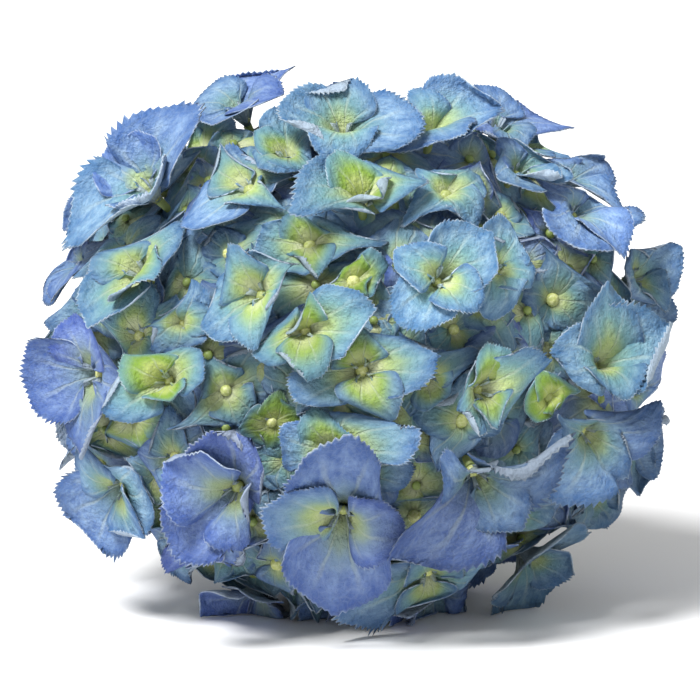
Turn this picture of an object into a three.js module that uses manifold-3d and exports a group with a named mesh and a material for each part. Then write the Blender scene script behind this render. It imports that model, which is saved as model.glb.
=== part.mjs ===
// A cut mophead hydrangea lying on a table: a domed head of toothed, cupped florets on a short woody stem.
// The head rests on the florets of its lower rim, pressed against the table, and on the stem's slanting cut.
// Millimetres, +Z up. The head looks towards -Y and up, the stem runs back to +Y, and the table is z = 0.

import * as THREE from "three";
import { mergeVertices } from "three/addons/utils/BufferGeometryUtils.js";
import Module from "manifold-3d";

const { degToRad, lerp, clamp, euclideanModulo } = THREE.MathUtils;

// The photograph's frame: the head is 642 pixels wide there, and 200 mm wide in life.
const HEAD_WIDTH = 200;
const PHOTO_HEAD_PIXELS = 642;
const PHOTO_CENTRE = { x: 351, y: 352 };
const MM_PER_PIXEL = HEAD_WIDTH / PHOTO_HEAD_PIXELS;

// How the flower lies, and from where it is seen, in degrees above the table.
const HEAD_TILT = degToRad(32);
const VIEW_ELEVATION = degToRad(12);
const HEAD_CENTRE = new THREE.Vector3(-0.49, -21.18, 79.5);

// The shell of the florets' middles, as half-lengths across, upright and along the stem's axis.
const BUD_SHELL = { across: 85, upright: 74, deep: 63 };

// How much a floret's facing follows the line from the rays' root, and leans to the viewer if it is shown.
const FACING = { radialShare: 0.35, shownLean: 0.35 };

// The florets that the rest of the shell gets: where they may sit, how far apart, and their sizes.
const FILL = { candidates: 900, spacing: 18, lastRing: degToRad(124) };
const FILL_FLORET = { reach: 16.5, rise: 28, lift: -0.5 };
const FILL_SPREAD = { reach: 1.5, rise: 12, lift: 0.4, lean: 0.3, turn: 180 };

// A floret: four sepals on a stalk, round a bud. The draws spread each sepal's heading, length and rise.
const SEPAL_COUNT = 4;
const BLADE_THICKNESS = 0.8;
const BUD_RADIUS = 1.6;
const BUD_HEIGHT = 2.6;
const STALK_RADIUS = 0.9;
const SEPAL_WIDTH_SHARE = 0.56;
const SEPAL_GROWTH = { outer: 1.44, inner: 1.12 };
const SEPAL_DRAW = { heading: 13, length: 0.14, rise: 11, innerRise: 6, curl: 26, curlSpread: 24 };
const SEPAL_HOLLOW = { depth: 0.36, depthSpread: 0.26, twist: 2.4 };
const CURL_TURN = 0.65;

// How high a whole lift stands, how far past the shell's outline a shown floret may sit, the lift that earns
// the fullest lobes, and how little a floret must face the viewer to get the plainest.
const LIFT_HEIGHT = 5;
const EDGE_REACH = 1.03;
const FULL_LIFT = 0.5;
const TURNED_AWAY = 0.68;

// How neighbours press: how near, how softly and how steeply a sepal meets the next floret, how far that
// reaches, and how much chance decides which of the two lies on top.
const CROWD = { clearance: 0.6, softness: 2.4, climb: 0.6, height: 5, reach: 1.35, order: 0.5, passes: 3 };
const WALL_LEAN = degToRad(56);
const GROWTH_RISE = 0.6;

// Sepals within reach of the table lie flat on it, and so do the florets of the ring that bears the head.
const TABLE = { reach: 4.5, ring: 12, press: 0.75 };

// The branching inside the head, and the stem.
const RAY = { count: 12, radius: 2.3, sides: 3, lengthShare: 0.6, rootBehindCentre: 44 };
const STALK = { climb: 1, step: 4.5, lowest: 0.3, highest: 0.97 };
const COLLAR = { radius: 5.6, length: 7, sides: 8 };
const STEM = { radius: 4.4, sides: 12, steps: 10, bow: 5, belowTable: 12 };
const LEAF_JOINT = { along: 0.42, width: 1.35, flatness: 0.9, breadth: 1.1, sides: 12, rings: 6 };
const NODE_GAP = 0.35;
const SMALLEST_DETAIL = 0.02;
const MERGE_DISTANCE = 1e-4;
const GOLDEN_ANGLE = Math.PI * (3 - Math.sqrt(5));
const CIRCLE_DEGREES = 360;
const SEED = 20731;
const GENERATOR = { factor: 16807, modulus: 2147483647 };

// The florets that the photograph shows: the bud's place in pixels, the reach of the sepals in pixels, the
// turn of the first sepal anticlockwise from the right in degrees, the rise of the cup in degrees, how far
// the floret stands proud of its neighbours, from -1 to 1, and how far it leans to the right and up.
const SEEN_FLORETS = [
  // the middle of the dome
  [353, 287, 33, 20, 55, 0.5, 0, 0.1],
  [308, 332, 46, 5, 34, 0.8, 0, -0.15],
  [269, 299, 52, 25, 35, 0.5, -0.45, 0],
  [432, 287, 49, 50, 20, 0.8, 0, 0],
  [447, 330, 44, 30, 15, -0.6, 0.2, -0.2],
  [362, 213, 50, 30, 48, 0.5, 0, 0.45],
  [362, 370, 56, 5, 30, 0.25, -0.1, 0],
  [420, 378, 48, 30, 35, -0.2, 0.1, -0.2],
  [467, 388, 50, 5, 42, 0.5, 0.45, 0],
  [486, 276, 46, 70, 40, -0.1, 0.2, 0.2],
  [441, 205, 52, 45, 45, 0.2, 0.1, 0.25],
  // the upper left
  [256, 199, 62, 40, 35, 0.3, -0.35, 0.2],
  [291, 172, 48, 50, 45, 0.1, -0.1, 0.3],
  [312, 252, 54, 20, 40, 0.1, 0, 0],
  [343, 150, 56, 10, 35, 0.4, 0, 0.15],
  [162, 203, 58, 35, 34, 0.45, -0.15, 0.1],
  [156, 283, 58, 45, 36, 0.5, -0.2, 0.25],
  [190, 325, 50, 80, 60, 0.1, 0.2, 0],
  [100, 208, 47, 80, 30, 0, -0.05, 0.05],
  [72, 262, 42, 0, 35, -0.2, -0.05, 0],
  [205, 157, 44, 80, 40, -0.6, 0.1, 0.05],
  [247, 124, 50, 65, 30, 0.2, -0.1, 0],
  [292, 104, 42, 60, 35, -0.4, 0, -0.05],
  [335, 110, 46, 90, 25, -0.3, 0, -0.05],
  // the upper right
  [427, 147, 54, 35, 46, 0.4, 0, 0.1],
  [475, 112, 44, 90, 30, -0.4, 0.2, -0.05],
  [492, 140, 50, 30, 30, 0.1, 0.1, 0],
  [535, 138, 44, 10, 30, -0.1, 0.1, 0],
  [510, 182, 48, 50, 35, 0, 0.1, 0],
  [575, 174, 50, 60, 30, 0, 0.1, 0],
  [565, 222, 60, 50, 34, 0.2, 0.1, 0.1],
  [604, 222, 38, 20, 35, -0.4, 0.1, 0],
  [543, 302, 58, 70, 35, -0.2, 0.1, -0.1],
  [622, 283, 50, 45, 35, 0, 0.05, 0],
  [634, 318, 44, 0, 30, -0.4, 0.05, 0],
  // the right
  [583, 368, 58, 20, 38, 0.4, -0.1, 0.3],
  [616, 388, 56, 10, 30, 0.1, 0.3, 0.1],
  [570, 424, 62, 30, 40, 0.5, 0, -0.25],
  [538, 396, 38, 30, 50, 0, 0.1, 0.1],
  [622, 440, 50, 0, 30, 0, 0.1, -0.1],
  [588, 492, 52, 30, 30, -0.1, 0.1, -0.15],
  // the lower rim
  [455, 418, 54, 80, 40, 0, 0, 0.1],
  [466, 462, 68, 30, 32, 0.6, 0, -0.45],
  [508, 503, 58, 30, 20, -0.1, 0.1, -0.25],
  [518, 547, 56, 70, 28, 0.2, 0, -0.1],
  [425, 562, 60, 0, 20, 0.1, 0, -0.2],
  [362, 465, 52, 80, 30, -0.1, 0.2, 0.1],
  [336, 445, 60, 10, 40, 0.3, -0.2, 0.1],
  [344, 499, 66, 85, 18, 0.4, 0, -0.45],
  [355, 590, 48, 0, 25, -0.2, 0, -0.2],
  [280, 555, 50, 0, 20, -0.3, 0, -0.15],
  [260, 583, 54, 70, 22, 0, -0.1, -0.2],
  [213, 512, 56, 60, 15, 0, -0.2, -0.3],
  [245, 478, 66, 60, 30, 0.7, -0.2, -0.2],
  // the left
  [133, 478, 60, 55, 22, 0.1, -0.2, -0.2],
  [74, 478, 40, 10, 30, -0.4, -0.05, 0],
  [112, 372, 62, 15, 28, 0.1, -0.3, -0.2],
  [122, 308, 52, 0, 30, -0.1, 0, 0],
  [150, 338, 52, 10, 35, 0.1, -0.1, 0.1],
  [178, 380, 48, 30, 45, 0.2, 0.1, 0.1],
  [140, 412, 50, 30, 40, -0.3, 0, -0.2],
  [232, 388, 56, 40, 35, -0.2, 0.1, -0.1],
  [276, 418, 38, 0, 55, -0.4, 0, 0],
];

const wasm = await Module();
wasm.setup();
const { Manifold, Mesh } = wasm;

// Axes of the picture and of the head, in the part's frame.
const ACROSS = new THREE.Vector3(1, 0, 0);
const TABLE_NORMAL = new THREE.Vector3(0, 0, 1);
const TOWARDS_VIEWER = new THREE.Vector3(0, -Math.cos(VIEW_ELEVATION), Math.sin(VIEW_ELEVATION));
const PICTURE_UP = new THREE.Vector3(0, Math.sin(VIEW_ELEVATION), Math.cos(VIEW_ELEVATION));
const HEAD_AXIS = new THREE.Vector3(0, -Math.cos(HEAD_TILT), Math.sin(HEAD_TILT));
const HEAD_UPRIGHT = new THREE.Vector3(0, Math.sin(HEAD_TILT), Math.cos(HEAD_TILT));
const RAY_ROOT = HEAD_CENTRE.clone().addScaledVector(HEAD_AXIS, -RAY.rootBehindCentre);

// Park and Miller's generator, so that every run grows the same head.
function seededRandom(seed) {
  let state = seed;
  return () => {
    state = (state * GENERATOR.factor) % GENERATOR.modulus;
    return state / GENERATOR.modulus;
  };
}

const random = seededRandom(SEED);
const spreadOf = (range) => range * (2 * random() - 1);

// The way out of the bud shell at a point, part the shell's own normal and part the line from the rays' root.
function outwardAt(point) {
  const fromCentre = point.clone().sub(HEAD_CENTRE);
  const normal = new THREE.Vector3()
    .addScaledVector(ACROSS, fromCentre.dot(ACROSS) / BUD_SHELL.across ** 2)
    .addScaledVector(HEAD_UPRIGHT, fromCentre.dot(HEAD_UPRIGHT) / BUD_SHELL.upright ** 2)
    .addScaledVector(HEAD_AXIS, fromCentre.dot(HEAD_AXIS) / BUD_SHELL.deep ** 2)
    .normalize();
  const radial = point.clone().sub(RAY_ROOT).normalize();
  return normal.lerp(radial, FACING.radialShare).normalize();
}

// Where a pixel of the photograph meets the near side of the bud shell, swollen by the floret's lift. A pixel
// beyond the shell is pulled to its edge.
function onShellAt(pixelX, pixelY, lift) {
  const lean = HEAD_TILT - VIEW_ELEVATION;
  const swelling = lift * LIFT_HEIGHT;
  const halfAcross = BUD_SHELL.across + swelling;
  const uprightWeight = 1 / (BUD_SHELL.upright + swelling) ** 2;
  const deepWeight = 1 / (BUD_SHELL.deep + swelling) ** 2;
  const depthWeight = Math.sin(lean) ** 2 * uprightWeight + Math.cos(lean) ** 2 * deepWeight;
  const halfUp = Math.sqrt(depthWeight / (uprightWeight * deepWeight));
  const place = new THREE.Vector2(pixelX - PHOTO_CENTRE.x, PHOTO_CENTRE.y - pixelY);
  place.multiplyScalar(MM_PER_PIXEL);
  place.divideScalar(Math.max(1, Math.hypot(place.x / halfAcross, place.y / halfUp) / EDGE_REACH));
  const inside = Math.max(0, 1 - (place.x / halfAcross) ** 2 - (place.y / halfUp) ** 2);
  const shift = (place.y * Math.sin(lean) * Math.cos(lean) * (deepWeight - uprightWeight)) / depthWeight;
  return HEAD_CENTRE.clone()
    .addScaledVector(ACROSS, place.x)
    .addScaledVector(PICTURE_UP, place.y)
    .addScaledVector(TOWARDS_VIEWER, Math.sqrt(inside / depthWeight) - shift);
}

// Axes in a floret's plane: to the right and up as the picture has them, where its facing allows.
const SIDEWAYS_FACING = 0.8;

function planeAxes(facing) {
  const sideways = Math.abs(facing.dot(ACROSS)) > SIDEWAYS_FACING;
  const reference = sideways ? PICTURE_UP : ACROSS;
  const first = reference.clone().addScaledVector(facing, -reference.dot(facing)).normalize();
  const second = facing.clone().cross(first);
  return sideways ? { right: second.negate(), up: first } : { right: first, up: second };
}

// A floret with the draws of its four sepals. The outer pair lies under the inner pair.
function makeFloret(centre, facing, reach, turn, rise, lift) {
  const { right, up } = planeAxes(facing);
  const sepals = Array.from({ length: SEPAL_COUNT }, (_, k) => {
    const isInner = k % 2 === 1;
    const growth = isInner ? SEPAL_GROWTH.inner : SEPAL_GROWTH.outer;
    const innerRise = isInner ? SEPAL_DRAW.innerRise : -SEPAL_DRAW.innerRise;
    return {
      heading: degToRad(turn + (CIRCLE_DEGREES / SEPAL_COUNT) * k + spreadOf(SEPAL_DRAW.heading)),
      length: growth * reach * (1 + spreadOf(SEPAL_DRAW.length)),
      rise: degToRad(rise + innerRise + spreadOf(SEPAL_DRAW.rise)),
      curl: degToRad(SEPAL_DRAW.curl + spreadOf(SEPAL_DRAW.curlSpread)),
      hollow: SEPAL_HOLLOW.depth + spreadOf(SEPAL_HOLLOW.depthSpread),
      twist: spreadOf(SEPAL_HOLLOW.twist),
    };
  });
  return { centre, facing, right, up, reach, lift, sepals, walls: [], lobe: lobeFor(centre, facing, lift) };
}

// Florets that stand proud or bear the head get the fullest lobes, and those turned away from the viewer the
// plainest.
function lobeFor(centre, facing, lift) {
  if (lift >= FULL_LIFT || centre.z < TABLE.ring) return FULL_LOBE;
  return facing.dot(TOWARDS_VIEWER) > TURNED_AWAY ? PLAIN_LOBE : CORNERED_LOBE;
}

// The florets of the photograph, then more along a spiral wherever the shell is still bare.
function placeFlorets() {
  const florets = SEEN_FLORETS.map(([x, y, reach, turn, rise, lift, toRight, toTop]) => {
    const centre = onShellAt(x, y, lift);
    const facing = outwardAt(centre).lerp(TOWARDS_VIEWER, FACING.shownLean);
    facing.addScaledVector(ACROSS, toRight).addScaledVector(PICTURE_UP, toTop).normalize();
    return makeFloret(centre, facing, reach * MM_PER_PIXEL, turn, rise, lift);
  });
  for (let i = 0; i < FILL.candidates; i++) {
    const seat = spiralSeat(i, FILL.candidates);
    if (florets.some((other) => other.centre.distanceTo(seat) < FILL.spacing)) continue;
    const reach = FILL_FLORET.reach + spreadOf(FILL_SPREAD.reach);
    const lift = FILL_FLORET.lift + spreadOf(FILL_SPREAD.lift);
    const rise = FILL_FLORET.rise + spreadOf(FILL_SPREAD.rise);
    const centre = seat.addScaledVector(outwardAt(seat), lift * LIFT_HEIGHT);
    const lean = new THREE.Vector3(...[0, 0, 0].map(() => spreadOf(FILL_SPREAD.lean)));
    const facing = outwardAt(centre).add(lean).normalize();
    florets.push(makeFloret(centre, facing, reach, spreadOf(FILL_SPREAD.turn), rise, lift));
  }
  return florets;
}

// Crowded florets press on each other along a plane between them, which leans over the lower of the two.
function crowdTogether(florets) {
  florets.forEach((one, i) =>
    florets.slice(i + 1).forEach((other) => {
      const between = other.centre.clone().sub(one.centre);
      if (between.length() > CROWD.reach * (one.reach + other.reach)) return;
      const towards = between.clone().normalize();
      const outward = one.facing.clone().add(other.facing);
      outward.addScaledVector(towards, -outward.dot(towards)).normalize();
      const lean = one.lift + spreadOf(CROWD.order) > other.lift ? WALL_LEAN : -WALL_LEAN;
      const sideways = towards.clone().cross(outward).divideScalar(Math.min(one.reach, other.reach));
      const normal = towards.multiplyScalar(Math.cos(lean)).addScaledVector(outward, -Math.sin(lean));
      const foot = one.centre
        .clone()
        .addScaledVector(between, one.reach / (one.reach + other.reach))
        .addScaledVector(outward, CROWD.height);
      one.walls.push({ foot, normal, sideways });
      other.walls.push({ foot, normal: normal.clone().negate(), sideways });
    }),
  );
}

// A point of a sepal that would pass a wall stops at it, and climbs along it by most of what it lost.
function settle(point, heading, floret) {
  const growth = heading.clone().addScaledVector(floret.facing, GROWTH_RISE);
  for (let pass = 0; pass < CROWD.passes; pass++)
    for (const { foot, normal, sideways } of floret.walls) {
      const fromFoot = point.clone().sub(foot);
      const past = fromFoot.dot(normal) + CROWD.clearance;
      const share = Math.exp(-(fromFoot.dot(sideways) ** 2));
      const excess = (share * (past + Math.hypot(past, CROWD.softness))) / 2;
      point.addScaledVector(normal, -excess);
      if (pass) continue;
      const along = growth.clone().addScaledVector(normal, -growth.dot(normal)).normalize();
      point.addScaledVector(along, CROWD.climb * excess);
    }
  if (point.z < TABLE.reach) point.z = BLADE_THICKNESS / 2;
  return point;
}

// A point of a sepal's middle surface: along from 0 at the bud to 1 at the tip, across from -1 to 1.
function sepalPoint(floret, sepal, along, across) {
  const { facing, right, up, centre } = floret;
  const heading = right.clone().multiplyScalar(Math.cos(sepal.heading));
  heading.addScaledVector(up, Math.sin(sepal.heading));
  const side = facing.clone().cross(heading);
  const slope = sepal.rise + sepal.curl * (CURL_TURN - along);
  const halfWidth = sepal.length * SEPAL_WIDTH_SHARE;
  const hollow = sepal.hollow * halfWidth * across ** 2 + sepal.twist * along * across;
  const point = centre
    .clone()
    .addScaledVector(heading, sepal.length * along * Math.cos(slope) - hollow * Math.sin(slope))
    .addScaledVector(facing, sepal.length * along * Math.sin(slope) + hollow * Math.cos(slope))
    .addScaledVector(side, halfWidth * across);
  return settle(point, heading, floret);
}

// Half the space between two neighbouring lobes, the lobe's edge from one shoulder to the other, and a point
// inside a full lobe that its curve bends over, all in sepal coordinates.
const FULL_LOBE = {
  notch: [0.36, 0.66],
  edge: [
    [0.56, -0.98],
    [0.8, -0.74],
    [1.04, 0],
    [0.8, 0.74],
    [0.56, 0.98],
  ],
  middle: [0.55, 0],
};
const PLAIN_LOBE = {
  notch: [0.36, 0.66],
  edge: [
    [0.7, -0.92],
    [1.02, 0],
    [0.7, 0.92],
  ],
};
const CORNERED_LOBE = { notch: [0.58, 0.8], edge: [[1.04, 0]] };

// One floret, closed: a thin blade with four lobes, split alike on both faces, its bud above and its stalk
// below.
function floretSolid(floret, joint) {
  const { sepals, centre, facing, lobe } = floret;
  const [notchAlong, notchAcross] = lobe.notch;
  const points = [];
  const faces = [];
  const addPoint = (point) => points.push(point) - 1;
  const nextTo = (k) => (k + 1) % SEPAL_COUNT;
  const ring = sepals.map((sepal, k) => addPoint(budRingPoint(floret, sepal, sepals[nextTo(k)])));
  const notches = sepals.map((sepal, k) => {
    const own = sepalPoint(floret, sepal, notchAlong, notchAcross);
    return addPoint(own.lerp(sepalPoint(floret, sepals[nextTo(k)], notchAlong, -notchAcross), 0.5));
  });
  const outline = [];
  sepals.forEach((sepal, k) => {
    const before = (k + SEPAL_COUNT - 1) % SEPAL_COUNT;
    const edge = lobe.edge.map(([along, across]) => addPoint(sepalPoint(floret, sepal, along, across)));
    const loop = [ring[before], notches[before], ...edge, notches[k], ring[k]];
    if (lobe.middle) {
      const middle = addPoint(sepalPoint(floret, sepal, ...lobe.middle));
      fan(faces, [middle, ...loop, loop[0]]);
    } else {
      const firstHalf = (loop.length - 1) / 2;
      fan(faces, [ring[before], ...loop.slice(1, firstHalf + 1), ring[k]]);
      fan(faces, [ring[k], ...loop.slice(firstHalf, -1)]);
    }
    outline.push(notches[before], ...edge);
  });
  const { vertices, triangles } = thicken(points, faces, outline, BLADE_THICKNESS);
  const under = ring.map((corner) => corner + points.length);
  const tip = vertices.push(centre.clone().addScaledVector(facing, BUD_HEIGHT)) - 1;
  const direction = joint.clone().sub(centre).normalize();
  const foot = ring.map((corner) => {
    const offset = points[corner].clone().sub(centre);
    offset.addScaledVector(direction, -offset.dot(direction)).setLength(STALK_RADIUS);
    return vertices.push(offset.add(joint)) - 1;
  });
  ring.forEach((corner, k) => {
    const next = nextTo(k);
    triangles.push([corner, ring[next], tip]);
    triangles.push([under[next], under[k], foot[k]], [under[next], foot[k], foot[next]]);
  });
  triangles.push([foot[0], foot[2], foot[1]], [foot[0], foot[3], foot[2]]);
  return solidFrom(vertices, triangles);
}

// Triangles from the first corner to each side between the others.
function fan(faces, [root, ...others]) {
  for (let i = 1; i < others.length; i++) faces.push([root, others[i - 1], others[i]]);
}

// A corner of the square that the bud and the stalk share, between two neighbouring sepals.
function budRingPoint(floret, sepal, next) {
  const turn = euclideanModulo(next.heading - sepal.heading, 2 * Math.PI);
  const heading = sepal.heading + turn / 2;
  return floret.centre
    .clone()
    .addScaledVector(floret.right, BUD_RADIUS * Math.cos(heading))
    .addScaledVector(floret.up, BUD_RADIUS * Math.sin(heading));
}

// The two faces and the rim of a thin blade: each point of its middle surface moves half the thickness both
// ways.
function thicken(points, faces, outline, thickness) {
  const normals = points.map(() => new THREE.Vector3());
  for (const [a, b, c] of faces) {
    const ab = points[b].clone().sub(points[a]);
    const normal = ab.cross(points[c].clone().sub(points[a]));
    for (const corner of [a, b, c]) normals[corner].add(normal);
  }
  const count = points.length;
  normals.forEach((normal) => normal.setLength(thickness / 2));
  const upper = points.map((point, i) => point.clone().add(normals[i]));
  const lower = points.map((point, i) => point.clone().sub(normals[i]));
  upper.forEach((point, i) => pressOnTable(point, lower[i]));
  const vertices = [...upper, ...lower];
  const triangles = faces.map(([a, b, c]) => [a, b, c]);
  for (const [a, b, c] of faces) triangles.push([a + count, c + count, b + count]);
  outline.forEach((corner, i) => {
    const next = outline[(i + 1) % outline.length];
    triangles.push([corner + count, next, corner], [corner + count, next + count, next]);
  });
  return { vertices, triangles };
}

// A blade that meets the table lies flat on it, and keeps its thickness.
function pressOnTable(one, other) {
  const [low, high] = one.z < other.z ? [one, other] : [other, one];
  if (low.z > TABLE.press) return;
  low.z = 0;
  high.z = Math.max(high.z, TABLE.press);
}

function solidFrom(vertices, triangles) {
  return new Manifold(
    new Mesh({
      numProp: 3,
      vertProperties: new Float32Array(vertices.flatMap((vertex) => vertex.toArray())),
      triVerts: new Uint32Array(triangles.flat()),
    }),
  );
}

// A closed three.js geometry as a solid.
function solidOf(geometry) {
  const bare = geometry.clone();
  bare.deleteAttribute("normal");
  bare.deleteAttribute("uv");
  const merged = mergeVertices(bare, MERGE_DISTANCE);
  return new Manifold(
    new Mesh({
      numProp: 3,
      vertProperties: merged.attributes.position.array,
      triVerts: new Uint32Array(merged.index.array),
    }),
  );
}

// A stalk of a few flat sides, straight or along a curve.
function stalk(path, radius, sides, steps) {
  const section = new THREE.Shape(
    Array.from({ length: sides }, (_, i) => {
      const turn = (2 * Math.PI * i) / sides;
      return new THREE.Vector2(radius * Math.cos(turn), radius * Math.sin(turn));
    }),
  );
  return solidOf(new THREE.ExtrudeGeometry(section, { steps, bevelEnabled: false, extrudePath: path }));
}

function straightStalk(from, to, radius, sides) {
  return stalk(new THREE.LineCurve3(from, to), radius, sides, 1);
}

// The rays' tips, spread evenly under the shell.
function rayTips() {
  const tip = (i) => RAY_ROOT.clone().lerp(spiralSeat(i, RAY.count), RAY.lengthShare);
  return Array.from({ length: RAY.count }, (_, i) => tip(i));
}

// A place on the bud shell, one of a number spread evenly along a spiral from the dome's middle to its rim.
function spiralSeat(index, count) {
  const turn = index * GOLDEN_ANGLE;
  const alongAxis = lerp(1, Math.cos(FILL.lastRing), (index + 0.5) / count);
  const ring = Math.sqrt(1 - alongAxis ** 2);
  return HEAD_CENTRE.clone()
    .addScaledVector(ACROSS, BUD_SHELL.across * ring * Math.cos(turn))
    .addScaledVector(HEAD_UPRIGHT, BUD_SHELL.upright * ring * Math.sin(turn))
    .addScaledVector(HEAD_AXIS, BUD_SHELL.deep * alongAxis);
}

// Where each floret's stalk leaves a ray: the nearest ray, low enough for the stalk to climb away from it,
// and each stalk of a ray a little below the one before.
function stalkJoints(florets, tips) {
  const onRay = tips.map(() => []);
  florets.forEach((floret) => {
    const distances = tips.map((tip) => tip.distanceTo(floret.centre));
    const nearest = distances.indexOf(Math.min(...distances));
    const ray = tips[nearest].clone().sub(RAY_ROOT);
    const direction = ray.clone().normalize();
    const toFloret = floret.centre.clone().sub(RAY_ROOT);
    const climb = STALK.climb * toFloret.clone().cross(direction).length();
    onRay[nearest].push({ floret, ray, share: (toFloret.dot(direction) - climb) / ray.length() });
  });
  const joints = new Map();
  for (const stalks of onRay) {
    let highest = STALK.highest;
    for (const { floret, ray, share } of stalks.sort((a, b) => b.share - a.share)) {
      const taken = clamp(share, STALK.lowest, highest);
      joints.set(floret, RAY_ROOT.clone().addScaledVector(ray, taken));
      highest = Math.max(STALK.lowest, taken - STALK.step / ray.length());
    }
  }
  return joints;
}

// The whole head: rays from the collar outwards, and the florets with their stalks.
function flowerHead() {
  const florets = placeFlorets();
  crowdTogether(florets);
  const tips = rayTips();
  const collarTop = RAY_ROOT.clone().addScaledVector(HEAD_AXIS, COLLAR.length / 2);
  const collarFoot = RAY_ROOT.clone().addScaledVector(HEAD_AXIS, -COLLAR.length / 2);
  const solids = [straightStalk(collarFoot, collarTop, COLLAR.radius, COLLAR.sides)];
  tips.forEach((tip) => solids.push(straightStalk(RAY_ROOT, tip, RAY.radius, RAY.sides)));
  stalkJoints(florets, tips).forEach((joint, floret) => solids.push(floretSolid(floret, joint)));
  return largestBody(Manifold.union(solids));
}

// The biggest connected body, without sealed hollows or loose scraps.
function largestBody(solid) {
  const bodies = solid.decompose().sort((a, b) => b.volume() - a.volume());
  return bodies[0].simplify(SMALLEST_DETAIL);
}

// The stem: slightly bowed, swollen where a pair of leaves was, and cut on a slant that lies on the table.
function stem() {
  const top = RAY_ROOT.clone().addScaledVector(HEAD_AXIS, -COLLAR.length / 2 - NODE_GAP);
  const lengthBelow = (HEAD_CENTRE.z + STEM.belowTable) / Math.sin(HEAD_TILT);
  const end = HEAD_CENTRE.clone().addScaledVector(HEAD_AXIS, -lengthBelow);
  const middle = top.clone().lerp(end, 0.5).addScaledVector(HEAD_UPRIGHT, -STEM.bow);
  const path = new THREE.QuadraticBezierCurve3(top, middle, end);
  const joint = path.getPoint(LEAF_JOINT.along);
  const swollen = STEM.radius * LEAF_JOINT.width;
  const swelling = new THREE.SphereGeometry(swollen, LEAF_JOINT.sides, LEAF_JOINT.rings);
  swelling.rotateX(Math.PI / 2).scale(LEAF_JOINT.breadth, 1, LEAF_JOINT.flatness);
  swelling.applyQuaternion(new THREE.Quaternion().setFromUnitVectors(TABLE_NORMAL, HEAD_AXIS));
  swelling.translate(joint.x, joint.y, joint.z);
  const whole = stalk(path, STEM.radius, STEM.sides, STEM.steps).add(solidOf(swelling));
  return whole.trimByPlane(TABLE_NORMAL.toArray(), 0);
}

function meshOf(name, solid, material) {
  const { vertProperties, triVerts } = solid.getMesh();
  const geometry = new THREE.BufferGeometry();
  geometry.setAttribute("position", new THREE.BufferAttribute(vertProperties, 3));
  geometry.setIndex(new THREE.BufferAttribute(triVerts, 1));
  geometry.computeVertexNormals();
  const mesh = new THREE.Mesh(geometry, material);
  mesh.name = name;
  return mesh;
}

const sepalBlue = new THREE.MeshStandardMaterial({ color: 0x7fa3d4, roughness: 0.65, metalness: 0 });
const stemGreen = new THREE.MeshStandardMaterial({ color: 0x7d8f4e, roughness: 0.6, metalness: 0 });

const hydrangea = new THREE.Group();
hydrangea.add(meshOf("flower_head", flowerHead(), sepalBlue));
hydrangea.add(meshOf("stem", stem(), stemGreen));

export default hydrangea;
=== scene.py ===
"""A cut mophead hydrangea, dressed for rendering, in the order it is put together.

The stem comes first, then the rays and stalks, the sepals and the buds, and last the floor and light.
Lengths are worked out in millimetres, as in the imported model, and written to meshes in metres.
"""

import math

import bpy
import numpy as np
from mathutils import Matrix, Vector


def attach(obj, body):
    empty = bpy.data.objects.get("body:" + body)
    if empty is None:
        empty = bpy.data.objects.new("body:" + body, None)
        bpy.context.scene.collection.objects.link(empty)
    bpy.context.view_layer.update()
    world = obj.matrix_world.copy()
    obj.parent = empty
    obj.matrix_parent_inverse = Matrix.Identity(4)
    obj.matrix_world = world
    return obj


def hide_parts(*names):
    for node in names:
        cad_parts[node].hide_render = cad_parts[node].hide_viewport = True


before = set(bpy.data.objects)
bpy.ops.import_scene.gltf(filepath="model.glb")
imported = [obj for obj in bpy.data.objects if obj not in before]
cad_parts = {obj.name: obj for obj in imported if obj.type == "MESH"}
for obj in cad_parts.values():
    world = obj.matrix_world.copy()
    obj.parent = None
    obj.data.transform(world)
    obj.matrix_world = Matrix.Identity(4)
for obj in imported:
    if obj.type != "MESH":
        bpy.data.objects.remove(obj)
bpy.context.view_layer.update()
bpy.ops.object.select_all(action="DESELECT")

# The stem.
# A green, half woody stem, a little bowed, that swells where a pair of leaves was picked off. It is cut
# on a slant. The flower lies on that cut and on the lower rim of its head, which the stem tilts back
# from the viewer.
MM = 0.001
HEAD_TILT = math.radians(32)
HEAD_CENTRE = np.array([-0.49, -21.18, 79.5])
ACROSS = np.array([1.0, 0, 0])
HEAD_AXIS = np.array([0, -math.cos(HEAD_TILT), math.sin(HEAD_TILT)])
HEAD_UPRIGHT = np.array([0, math.sin(HEAD_TILT), math.cos(HEAD_TILT)])
RAY_ROOT_DEPTH = 44
RAY_ROOT = HEAD_CENTRE - RAY_ROOT_DEPTH * HEAD_AXIS
COLLAR_LENGTH = 7
STEM_GAP = 0.35
STEM_RADIUS = 4.4
STEM_BOW = 5
STEM_SIDES = 24
STEM_STEPS = 72
STEM_BELOW_TABLE = 12
LEAF_JOINT = 0.42
LEAF_JOINT_LENGTH = 0.05
LEAF_JOINT_SWELLING = 0.33
LEAF_SCAR_LENGTH = 0.018
STEM_WAVE, STEM_WAVE_TURNS = 0.02, 40
NEARLY_ALONG = 0.8


def unit(vector):
    """The vector, or each row of vectors, at a length of one."""
    return vector / np.linalg.norm(vector, axis=-1, keepdims=True)


def select_edges(thing, is_chosen):
    """Goes to edit mode with only those edges selected whose two ends pass the test."""
    bpy.ops.object.mode_set(mode="EDIT")
    bpy.ops.mesh.select_mode(type="EDGE")
    bpy.ops.mesh.select_all(action="DESELECT")
    bpy.ops.object.mode_set(mode="OBJECT")
    vertices = thing.data.vertices
    for edge in thing.data.edges:
        edge.select = is_chosen(*(vertices[corner].co for corner in edge.vertices))
    bpy.ops.object.mode_set(mode="EDIT")


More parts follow.
